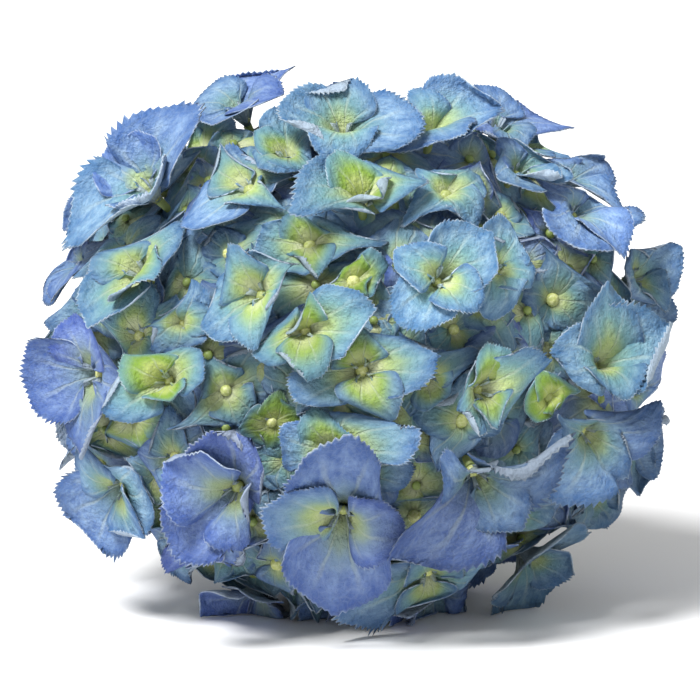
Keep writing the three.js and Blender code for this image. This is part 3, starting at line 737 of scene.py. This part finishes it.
straight = straight_stalk(STALK_SIDES, STALK_STEPS)
stalk_radii = np.interp(np.linspace(0, 1, STALK_STEPS + 1), *STALK_PROFILE)
stalk_parts = []
for floret, joint, ray_way in stalk_joints(all_florets, ray_tips):
    end = floret.centre + STALK_PAST_FLORET * floret.facing
    path = bent_path(joint, ray_way, end, floret.facing, STALK_STEPS)
    stalk_parts.append(grow_along(straight, path, stalk_radii))
stalks = join_as("stalks", stalk_parts)
bpy.data.objects.remove(straight)
stalks.data.materials.append(stalk_skin)
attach(stalks, "root")
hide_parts("flower_head")

# The sepals.
# Each floret shows four broad, thin sepals in two crossed pairs, cupped, with finely toothed and gently
# waved margins. They are soft and matt, cream and green at the heart, then teal, blue and periwinkle,
# with a highlight painted along the rim, painted shade in the creases of their pleats, and each floret's
# painted light and shade. Those that reach the table lie pressed flat on it.
SEPAL_COLUMNS, SEPAL_ROWS = 22, 8
UNDER_GRIDS = ((11, 5), (10, 4), (9, 4))
SEPAL_THICKNESS = 0.4
SEPAL_WIDTH_SHARE = 0.56
HALF_FAN = math.radians(84)
FAN_ROUNDNESS = 0.7
SEPAL_BASE = 0.05
MIDRIB_REACH = 0.96
POINTED_MOST, POINT_WIDTH = 0.18, 0.2
ONE_SIDED_MOST = 0.07
LONG_WAVE, LONG_WAVE_TURNS = 0.025, 5
SHORT_WAVE, SHORT_WAVE_TURNS = 0.012, 13
MARGIN_STARTS = 0.999
TOOTH_DEPTH, TOOTH_LEAN = 0.055, 0.985
SEPAL_TOOTHING, TOOTH_SIZES = (0.6, 1.25), (0.35, 1.25)
BLUNTEST, SHARPNESS_TURNS = 0.45, 4
TEETH_AT_TIP, TEETH_LOST_ASIDE = 1.7, 1.3
NOTCH_SHARE = 0.25
FOLDED_SHARE = 0.42
FOLD_WAY = (0.15, 1.15)
FOLD_WIDTH = (0.07, 0.22)
FOLD_TURN = (1.6, 2.7)
FOLD_RADIUS = 0.045
LEAST_FORWARD = 0.5
CURL_MIDDLE = 0.65
RIPPLE, RIPPLE_TURNS = (0.3, 1.1), (3.1, 7.3)
RECURVE, RECURVE_STARTS, RECURVE_GROWTH = (-2.8, 2.4), 0.66, 8.5
PAIR_GAP = 0.35
CRUMPLE, CRUMPLE_TURNS = 0.3, (5, 6)
MIDRIB_DEPTH, MIDRIB_WIDTH, MIDRIB_ENDS = 0.5, 0.06, 1.1
LOOSE_FROM, LOOSE_OVER = 0.05, 0.3
TABLE_REACH = 4.5
BLADE_MIDDLE = 0.4
PRESSED_SLACK = 0.1
PRESSED_OVER = 1.5
PRESSED_WAVE, PRESSED_WAVE_TURNS = 0.25, 4
INNER_GREENER, GREEN_SPREAD, VIOLET_SPREAD = 0.12, 0.12, 0.15
BRIGHT_SPREAD = (0.88, 1.12)
PATTERN_SHIFT = 50


def flat_sheet(columns, rows):
    """A flat sheet of columns and rows, with each column's outer end split in four for two teeth."""
    bpy.ops.mesh.primitive_grid_add(x_subdivisions=columns, y_subdivisions=rows, size=2)
    sheet = bpy.context.object
    select_edges(sheet, lambda one, other: min(one.y, other.y) > MARGIN_STARTS)
    bpy.ops.mesh.subdivide(number_cuts=3, ngon=False)
    bpy.ops.object.mode_set(mode="OBJECT")
    return sheet


shape_draws = np.random.default_rng(410)


def sepal_outline(across, along, columns):
    """The sheet's points drawn to a round, toothed sepal: angle from its midrib, and reach from its base."""
    drawn = shape_draws.uniform
    pointed, one_sided = drawn(0.0, POINTED_MOST), drawn(-ONE_SIDED_MOST, ONE_SIDED_MOST)
    phases = drawn(0, 2 * math.pi, 3)
    angle = across * HALF_FAN
    out = SEPAL_BASE + (1 - SEPAL_BASE) * (along + 1) / 2
    reach = MIDRIB_REACH * np.cos(angle) ** FAN_ROUNDNESS + pointed * np.exp(-np.abs(angle) / POINT_WIDTH)
    waves = LONG_WAVE * np.sin(LONG_WAVE_TURNS * angle + phases[0])
    waves = waves + SHORT_WAVE * np.sin(SHORT_WAVE_TURNS * angle + phases[2])
    reach = reach * (1 + one_sided * np.sin(angle) + waves * out**2)
    is_margin = along > MARGIN_STARTS
    quarter = (across + 1) * columns
    is_tip = is_margin & (np.abs(quarter - np.round(quarter)) > 0.25)
    sharpness = BLUNTEST + (1 - BLUNTEST) * np.sin(SHARPNESS_TURNS * angle + phases[1]) ** 2
    sharpness = sharpness * np.clip(TEETH_AT_TIP - TEETH_LOST_ASIDE * np.abs(across), 0, 1)
    tooth = TOOTH_DEPTH * drawn(*SEPAL_TOOTHING) * drawn(*TOOTH_SIZES, len(across)) * sharpness
    notch = np.where(is_margin & ~is_tip, NOTCH_SHARE * tooth, 0)
    reach = reach * out + np.where(is_tip, tooth, 0) - notch
    return angle * np.where(is_tip, TOOTH_LEAN, 1.0), reach, out


def fold_margin(forward, sideways):
    """Some sepals have a strip of their margin turned over towards the viewer. This gives the points' new
    places in the sepal's plane, and how high each stands above it."""
    drawn = shape_draws.uniform
    way = math.copysign(drawn(*FOLD_WAY), drawn(-1, 1))
    crease, turned = 0.5 + 0.5 * math.cos(way) - drawn(*FOLD_WIDTH), drawn(*FOLD_TURN)
    if drawn() > FOLDED_SHARE:
        return forward, sideways, np.zeros(len(forward))
    past = np.clip(forward * math.cos(way) + sideways * math.sin(way) - crease, 0, None)
    arc = np.minimum(past, FOLD_RADIUS * turned)
    bend = arc / FOLD_RADIUS
    kept = FOLD_RADIUS * np.sin(bend) + (past - arc) * math.cos(turned)
    height = FOLD_RADIUS * (1 - np.cos(bend)) + (past - arc) * math.sin(turned)
    shift = kept - past
    return forward + shift * math.cos(way), sideways + shift * math.sin(way), height


def sepal_points(across, along, columns, floret, sepal):
    """Where the sheet's points go for one sepal of one floret, in millimetres."""
    angle, reach, out = sepal_outline(across, along, columns)
    drawn = shape_draws.uniform
    phases = drawn(0, 2 * math.pi, 4)
    ripple, recurve = drawn(*RIPPLE), drawn(*RECURVE)
    forward, sideways, folded = fold_margin(reach * np.cos(angle), reach * np.sin(angle))
    length, slope = sepal["length"], sepal["rise"] + sepal["curl"] * (CURL_MIDDLE - forward)
    share = sideways / SEPAL_WIDTH_SHARE
    hollow = sepal["hollow"] * length * SEPAL_WIDTH_SHARE * share**2 + sepal["twist"] * forward * share
    hollow += PAIR_GAP * sepal["inner"] * out + length * folded
    hollow += ripple * out**3 * np.sin(RIPPLE_TURNS[0] * angle + phases[0])
    hollow += 0.5 * ripple * out**4 * np.sin(RIPPLE_TURNS[1] * angle + phases[1])
    hollow -= recurve * np.clip(out - RECURVE_STARTS, 0, 1) ** 2 * RECURVE_GROWTH
    lengthwise = np.sin(CRUMPLE_TURNS[0] * forward + 2 * phases[2])
    hollow += CRUMPLE * lengthwise * np.sin(CRUMPLE_TURNS[1] * share + phases[3]) * out
    hollow -= MIDRIB_DEPTH * np.exp(-((sideways / MIDRIB_WIDTH) ** 2)) * out * (MIDRIB_ENDS - out)

    heading = math.cos(sepal["heading"]) * floret.right + math.sin(sepal["heading"]) * floret.up
    side = np.cross(floret.facing, heading)
    level = length * forward * np.cos(slope)
    run = np.maximum(level - hollow * np.sin(slope), LEAST_FORWARD * level)
    climb = length * forward * np.sin(slope) + hollow * np.cos(slope)
    points = floret.centre + np.outer(run, heading) + np.outer(climb, floret.facing)
    points = points + np.outer(length * sideways, side)
    points = settle(points, heading, floret, np.clip((out - LOOSE_FROM) / LOOSE_OVER, 0, 1))
    near_table = np.clip((TABLE_REACH - points[:, 2]) / PRESSED_OVER, 0, 1)
    flat = BLADE_MIDDLE + PRESSED_WAVE * np.abs(np.sin(PRESSED_WAVE_TURNS * angle)) * out
    points[:, 2] = points[:, 2] * (1 - near_table) + flat * near_table
    points[:, 2] = np.maximum(points[:, 2], BLADE_MIDDLE - PRESSED_SLACK)
    return points, out


def grow_sepals(name, florets, columns, rows):
    """All sepals of some florets as one piece, each a copy of one sheet, painted with its own looks."""
    sheet = flat_sheet(columns, rows)
    across, along = points_of(sheet)[:, 0], points_of(sheet)[:, 1]
    drawn = shape_draws.uniform
    parts = []
    for floret in florets:
        for sepal in floret.sepals:
            points, out = sepal_points(across, along, columns, floret, sepal)
            part = copy_to(sheet, points)
            paint(part, "out", out)
            paint(part, "across", across)
            green = floret.green + INNER_GREENER * sepal["inner"]
            paint(part, "green", green + drawn(-GREEN_SPREAD, GREEN_SPREAD))
            paint(part, "violet", floret.violet + drawn(-VIOLET_SPREAD, VIOLET_SPREAD))
            # The floret's painted light and shade, with a little tone that differs at random.
            paint(part, "bright", floret.bright * drawn(*BRIGHT_SPREAD))
            paint(part, "draw", drawn(0, PATTERN_SHIFT))
            parts.append(part)
    bpy.data.objects.remove(sheet)
    piece = join_as(name, parts)
    one_side = len(piece.data.vertices)
    solidify = piece.modifiers.new("thickness", "SOLIDIFY")
    solidify.thickness = SEPAL_THICKNESS * MM
    solidify.offset = 0
    bpy.ops.object.modifier_apply(modifier=solidify.name)
    bpy.ops.object.shade_smooth()
    paint(piece, "behind", np.arange(len(piece.data.vertices)) < one_side)
    return piece


DEEP_BLUE, DEEP_PERIWINKLE = seen_colour(50, 104, 156), seen_colour(55, 82, 170)
PALE_BLUE, PALE_PERIWINKLE = seen_colour(170, 206, 224), seen_colour(146, 170, 228)
TEAL, GREY_TEAL = seen_colour(112, 162, 160), seen_colour(134, 156, 180)
PALE_LIME, LIME = seen_colour(186, 204, 126), seen_colour(134, 168, 58)
CREAM, GREEN_CREAM = seen_colour(222, 226, 190), seen_colour(196, 206, 120)
RIB_PALE, VEIN_PALE = seen_colour(206, 218, 196), seen_colour(205, 218, 232)
# The rim's pale colour is a painted highlight; the paler back is the sepal's own colour.
BACK_PALE, PAINTED_RIM_HIGHLIGHT = seen_colour(200, 214, 226), seen_colour(212, 226, 236)
THROUGH_LIGHT, THROUGH_SHARE = (0.3, 0.42, 0.46, 1), 0.2
SOFT_SCALE, FINE_SCALE, CRUMPLE_SCALE = 130.0, 900.0, 560.0
DASHES_ACROSS, DASHES_AT_BASE, DASHES_ALONG = 22.0, 4.0, 13.0
VEINS_ACROSS, VEINS_AT_BASE, VEINS_ALONG, VEIN_SCALE = 9.0, 2.0, 9.0, 1.6
PLEATS, RIBS = 30.0, 8.0
RELIEF_STRENGTH, RELIEF_DEPTH = 0.7, 0.001


def sepal_finish():
    """Cream and green at the heart, teal, blue and periwinkle beyond, with veins, a painted highlight on
    the rim, painted shade in the creases of the pleats, and each floret's painted light and shade.
    """
    finish = Finish("sepal", roughness=0.55)
    finish.shader.inputs["Specular IOR Level"].default_value = 0.3
    out, across, draw = finish.painted("out"), finish.painted("across"), finish.painted("draw")
    green, violet, bright = finish.painted("green"), finish.painted("violet"), finish.painted("bright")
    soft = finish.noise(SOFT_SCALE, 2.0, 0.5)
    fine = finish.noise(FINE_SCALE, 3.0, 0.6)
    dash_place = finish.spot(across * (out * DASHES_ACROSS + DASHES_AT_BASE), out * DASHES_ALONG, draw)
    dashes = finish.noise(1.0, 3.0, 0.65, dash_place)
    pleats = (across * PLEATS + soft * 5.0).wave() * (out - 0.25)

    tone = violet.between(0.1, 0.9)
    deep = finish.mix(tone, DEEP_BLUE, DEEP_PERIWINKLE)
    pale = finish.mix(tone, PALE_BLUE, PALE_PERIWINKLE)
    # The pleats darken the colour a little in their creases, as painted shade; the noise is the sepal's own
    # mottle.
    mottle_and_crease_shade = (soft * 0.35 + dashes * 0.6 + fine * 0.15 + pleats * 0.09).between(0.2, 0.92)
    body = finish.mix(mottle_and_crease_shade, deep, pale)
    margin = (out + (soft - 0.5) * 0.1).between(0.72, 0.95)
    body = finish.mix(margin * 0.55, body, deep)

    heart_edge = green * 0.84 + 0.1 - out - across * across * 0.12 + (soft - 0.5) * 0.22
    body = finish.mix(heart_edge.between(-0.45, 0.05) * 0.85, body, finish.mix(tone, TEAL, GREY_TEAL))
    lime = finish.mix(green.between(0.45, 1.0), PALE_LIME, LIME)
    body = finish.mix(heart_edge.between(-0.12, 0.3), body, lime)
    cream = finish.mix(green.between(0.6, 1.0), CREAM, GREEN_CREAM)
    body = finish.mix((heart_edge - out * 0.5).between(-0.05, 0.4) * 0.75, body, cream)

    rib_wave = (across * RIBS + (soft - 0.5) * 0.8).wave()
    ribs = (rib_wave ** 2.0).between(0.9, 1.0) * (1.0 - out).between(0.02, 0.6)
    vein_place = finish.spot(across * (out * VEINS_ACROSS + VEINS_AT_BASE), out * VEINS_ALONG, draw)
    net_sockets = {"Vector": vein_place, "Scale": VEIN_SCALE}
    net = finish.node("ShaderNodeTexVoronoi", "Distance", net_sockets, feature="DISTANCE_TO_EDGE")
    veins = 1 - net.between(0.0, 0.08)
    body = finish.mix(ribs * 0.3, body, RIB_PALE)
    body = finish.mix(veins * 0.1, body, VEIN_PALE)
    body = finish.mix(finish.painted("behind") * 0.65, body, BACK_PALE)
    # A painted highlight along the rim, broken into stretches by noise.
    painted_rim_highlight = (out + (fine - 0.5) * 0.02).between(0.98, 1.0) * (soft * 3.0 - 1.0).between(0.0, 1.0)
    body = finish.mix(painted_rim_highlight * 0.6, body, PAINTED_RIM_HIGHLIGHT)
    # Each floret's painted light and shade multiplies its colour: lighter where the light falls, darker in
    # the shade.
    lit = finish.node("ShaderNodeCombineColor", "Color", {"Red": bright, "Green": bright, "Blue": bright})
    finish.colour(finish.mix(1.0, body, lit, "MULTIPLY"))

    crumple = finish.noise(CRUMPLE_SCALE, 2.5, 0.6)
    relief = dashes * 0.5 + fine * 0.3 + crumple * 1.9 + pleats * 0.45 - veins * 0.15 - ribs * 0.5
    finish.relief(relief, RELIEF_STRENGTH, RELIEF_DEPTH)

    through = finish.node("ShaderNodeBsdfTranslucent", 0, {"Color": THROUGH_LIGHT})
    front = Value(finish.tree, finish.shader.outputs[0])
    both = finish.node("ShaderNodeMixShader", 0, {0: THROUGH_SHARE, 1: front, 2: through})
    finish.tree.links.new(both.socket, finish.tree.nodes["Material Output"].inputs["Surface"])
    return finish.made


sepal_skin = sepal_finish()
outer_florets = sorted(florets, key=lambda floret: floret.centre @ HEAD_AXIS)
OUTER_GROUPS = 4
groups = []
for number in range(OUTER_GROUPS):
    members = outer_florets[number::OUTER_GROUPS]
    groups.append((f"sepals_{number + 1}", members, SEPAL_COLUMNS, SEPAL_ROWS))
for number, (layer, grid) in enumerate(zip(under_layers, UNDER_GRIDS)):
    groups.append((f"sepals_in_shade_{number + 1}", layer, *grid))
for name, members, columns, rows in groups:
    piece = grow_sepals(name, members, columns, rows)
    piece.data.materials.append(sepal_skin)
    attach(piece, "root")
    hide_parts("flower_head")

# The buds.
# In the middle of each floret sits a round bud on a low ring, pale green, with four petals shut over it
# like a cap.
BUD_RADIUS = 1.9
BUD_HEIGHT = 2.1
BUD_SPREAD = (0.85, 1.15)
SHADED_BUD_SIZE = 0.8
BUD_FLATNESS = 0.86
BUD_GROOVE, BUD_GROOVE_SHARPNESS = 0.4, 6
BUD_FOOT_BELOW, BUD_FOOT_SHARE = -0.3, 0.7
BUD_GRID, SHADED_BUD_GRID = (16, 10), (8, 6)
RIPE_GREEN, RIPE_CREAM = seen_colour(182, 188, 110), seen_colour(216, 218, 160)
# The darker green is partly the bud's unripe colour and partly painted shade on the buds in the shade.
SHADED_AND_UNRIPE_GREEN = seen_colour(122, 140, 72)
MOTTLE_SCALE = 1200.0
LEAST_RIPE = 0.7


def shut_bud(segments, rings):
    """A ball with four shallow grooves that meet at its top, flattened, on a narrower foot."""
    bpy.ops.mesh.primitive_uv_sphere_add(segments=segments, ring_count=rings, radius=1)
    ball = bpy.context.object
    for vertex in ball.data.vertices:
        turn = math.atan2(vertex.co.y, vertex.co.x)
        level = math.hypot(vertex.co.x, vertex.co.y)
        groove = level * (1 - level) * abs(math.cos(2 * turn)) ** BUD_GROOVE_SHARPNESS
        vertex.co *= 1 - BUD_GROOVE * groove
        vertex.co.z *= BUD_FLATNESS
        if vertex.co.z < BUD_FOOT_BELOW:
            vertex.co.x *= BUD_FOOT_SHARE
            vertex.co.y *= BUD_FOOT_SHARE
    bpy.ops.object.shade_smooth()
    return ball


def bud_finish():
    """Cream mottled on pale green, and plain darker green: partly where the bud is unripe, and in full on
    the buds in the shade, as painted shade.
    """
    finish = Finish("bud skin", roughness=0.45)
    mottle = finish.noise(MOTTLE_SCALE, 2.0, 0.5)
    ripe = finish.mix(mottle.between(0.35, 0.7), RIPE_GREEN, RIPE_CREAM)
    finish.colour(finish.mix(finish.painted("green"), ripe, SHADED_AND_UNRIPE_GREEN))
    finish.relief(mottle, 0.2, SKIN_RELIEF)
    return finish.made


ball, shaded_ball = shut_bud(*BUD_GRID), shut_bud(*SHADED_BUD_GRID)
bud_parts = []
for floret in all_florets:
    shaded = floret.lift == UNDER_LIFT
    pattern = shaded_ball if shaded else ball
    size = BUD_RADIUS * shape_draws.uniform(*BUD_SPREAD) * (SHADED_BUD_SIZE if shaded else 1)
    axes = np.array([floret.right, floret.up, floret.facing])
    part = copy_to(pattern, floret.centre + BUD_HEIGHT * floret.facing + size * points_of(pattern) @ axes)
    # Buds in the shade take the darker green in full, as painted shade; the others take a random part of it,
    # for ripeness.
    paint(part, "green", 1 if shaded else shape_draws.uniform(0, LEAST_RIPE))
    bud_parts.append(part)
buds = join_as("buds", bud_parts)
bpy.data.objects.remove(ball)
bpy.data.objects.remove(shaded_ball)
buds.data.materials.append(bud_finish())
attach(buds, "root")
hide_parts("flower_head")

# The floor, the light and the camera.
# A pale floor under a broad soft light from above and from the left, and a long lens that looks down a
# little.
LENS_DISTANCE = 1.4
PHOTO_PIXELS = 700
FRAME_WIDTH_MM = PHOTO_PIXELS * MM_PER_PIXEL
SENSOR = 36.0
NEAREST_SEEN = 0.05
FLOOR_SIZE, FLOOR_GREY, FLOOR_SHINE = 8, 0.9, 0.1
SUN_ENERGY, SUN_ANGLE = 4.6, math.radians(20)
SUN_FROM = (-0.5, -0.55, 1.1)
STUDIO_LIGHT = 0.56


def look_at(thing, target):
    """Turns the camera or the light towards a place."""
    direction = Vector(target) - thing.location
    thing.rotation_euler = direction.to_track_quat("-Z", "Y").to_euler()


bpy.ops.object.select_all(action="DESELECT")
bpy.ops.mesh.primitive_plane_add(size=FLOOR_SIZE)
floor = bpy.context.object
floor.name = "floor"
floor_finish = Finish("floor paint", roughness=0.9)
floor_finish.shader.inputs["Base Color"].default_value = (FLOOR_GREY, FLOOR_GREY, FLOOR_GREY, 1)
floor_finish.shader.inputs["Specular IOR Level"].default_value = FLOOR_SHINE
floor.data.materials.append(floor_finish.made)

camera_data = bpy.data.cameras.new("camera")
camera_data.sensor_width = SENSOR
camera_data.lens = SENSOR * LENS_DISTANCE / (FRAME_WIDTH_MM * MM)
camera_data.clip_start = NEAREST_SEEN
camera = bpy.data.objects.new("camera", camera_data)
bpy.context.collection.objects.link(camera)
right, down = (PHOTO_PIXELS // 2 - middle for middle in PHOTO_CENTRE)
target = (HEAD_CENTRE + (right * ACROSS - down * PICTURE_UP) * MM_PER_PIXEL) * MM
camera.location = target + LENS_DISTANCE * TOWARDS_VIEWER
look_at(camera, target)
bpy.context.scene.camera = camera

light_data = bpy.data.lights.new("soft light", "SUN")
light_data.energy, light_data.angle = SUN_ENERGY, SUN_ANGLE
light = bpy.data.objects.new("soft light", light_data)
light.location = SUN_FROM
bpy.context.collection.objects.link(light)
look_at(light, (0, 0, 0))

world = bpy.data.worlds.new("studio")
world.use_nodes = True
world.node_tree.nodes["Background"].inputs["Color"].default_value = (1, 1, 1, 1)
world.node_tree.nodes["Background"].inputs["Strength"].default_value = STUDIO_LIGHT
bpy.context.scene.world = world
bpy.context.scene.view_settings.view_transform = "Standard"
